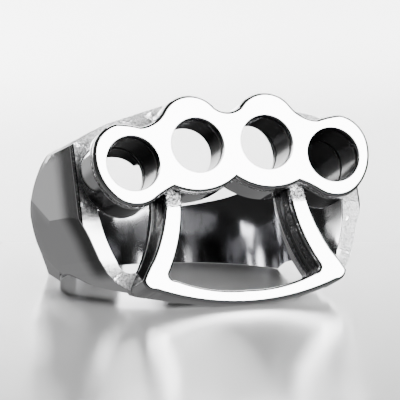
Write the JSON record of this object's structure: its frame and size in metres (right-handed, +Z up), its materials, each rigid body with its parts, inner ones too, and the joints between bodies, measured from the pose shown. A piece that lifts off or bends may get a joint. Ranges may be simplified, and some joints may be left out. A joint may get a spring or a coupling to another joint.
{
  "type": "knuckle ring",
  "caption": "Wide polished steel finger ring lying on its side, its face a small knuckle guard with round holes, slanting legs and a bowed palm bar.",
  "frame": {"origin": "on the floor, below the middle of the ring as it lies on its side", "axes": "+Z up from the floor, the ring's face towards -Y and tipped back by 20.3 degrees, +X along the four holes to the right of the face; the finger's axis leans back from +Z in the YZ plane"},
  "size_m": [0.0242, 0.0264, 0.016],
  "materials": {
    "polished_steel": "mirror-polished stainless steel, rough as cast in the recesses beside the legs"
  },
  "bodies": {
    "root": {"knuckle_ring": "polished_steel"}
  },
  "joints": []
}
